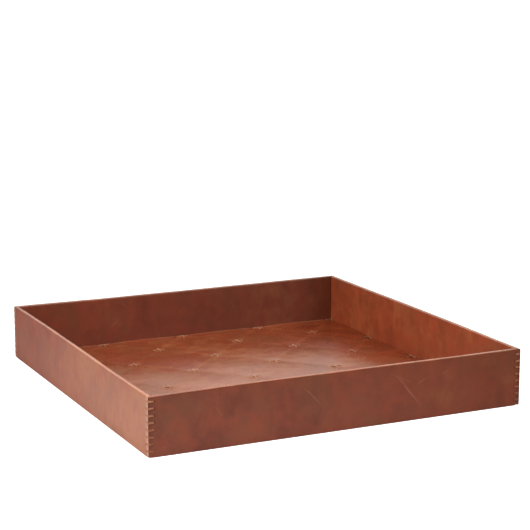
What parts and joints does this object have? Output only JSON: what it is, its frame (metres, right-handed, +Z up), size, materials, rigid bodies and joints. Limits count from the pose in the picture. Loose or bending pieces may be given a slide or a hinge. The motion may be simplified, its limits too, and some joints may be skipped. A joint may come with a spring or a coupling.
{
  "type": "tray",
  "caption": "Square shallow leather tray with stiff straight walls, sewn corners and a quilted leather floor.",
  "frame": {"origin": "middle of the underside, on the surface the tray stands on", "axes": "+Z up, -Y towards the front wall, +X to the right along it"},
  "size_m": [0.6152, 0.6152, 0.0875],
  "materials": {
    "leather": "waxed pull-up leather, satin, lightly mottled and scuffed",
    "thread": "thick waxed thread, twisted",
    "board": "raw fibreboard",
    "wadding": "soft felted wadding",
    "suede": "matt napped suede"
  },
  "bodies": {
    "root": {"back_left_corner_thread": "thread", "back_right_corner_thread": "thread", "back_wall_board": "board", "back_wall_leather": "leather", "base_board": "board", "floor_cross_r1_c1": "thread", "floor_cross_r1_c3": "thread", "floor_cross_r1_c5": "thread", "floor_cross_r1_c7": "thread", "floor_cross_r1_c9": "thread", "floor_cross_r2_c2": "thread", "floor_cross_r2_c4": "thread", "floor_cross_r2_c6": "thread", "floor_cross_r2_c8": "thread", "floor_cross_r3_c1": "thread", "floor_cross_r3_c3": "thread", "floor_cross_r3_c5": "thread", "floor_cross_r3_c7": "thread", "floor_cross_r3_c9": "thread", "floor_cross_r4_c2": "thread", "floor_cross_r4_c4": "thread", "floor_cross_r4_c6": "thread", "floor_cross_r4_c8": "thread", "floor_cross_r5_c1": "thread", "floor_cross_r5_c3": "thread", "floor_cross_r5_c5": "thread", "floor_cross_r5_c7": "thread", "floor_cross_r5_c9": "thread", "floor_cross_r6_c2": "thread", "floor_cross_r6_c4": "thread", "floor_cross_r6_c6": "thread", "floor_cross_r6_c8": "thread", "floor_cross_r7_c1": "thread", "floor_cross_r7_c3": "thread", "floor_cross_r7_c5": "thread", "floor_cross_r7_c7": "thread", "floor_cross_r7_c9": "thread", "floor_cross_r8_c2": "thread", "floor_cross_r8_c4": "thread", "floor_cross_r8_c6": "thread", "floor_cross_r8_c8": "thread", "floor_cross_r9_c1": "thread", "floor_cross_r9_c3": "thread", "floor_cross_r9_c5": "thread", "floor_cross_r9_c7": "thread", "floor_cross_r9_c9": "thread", "floor_leather": "leather", "floor_wadding": "wadding", "front_left_corner_thread": "thread", "front_right_corner_thread": "thread", "front_wall_board": "board", "front_wall_leather": "leather", "left_wall_board": "board", "left_wall_leather": "leather", "right_wall_board": "board", "right_wall_leather": "leather", "underside_cover": "suede"}
  },
  "joints": []
}
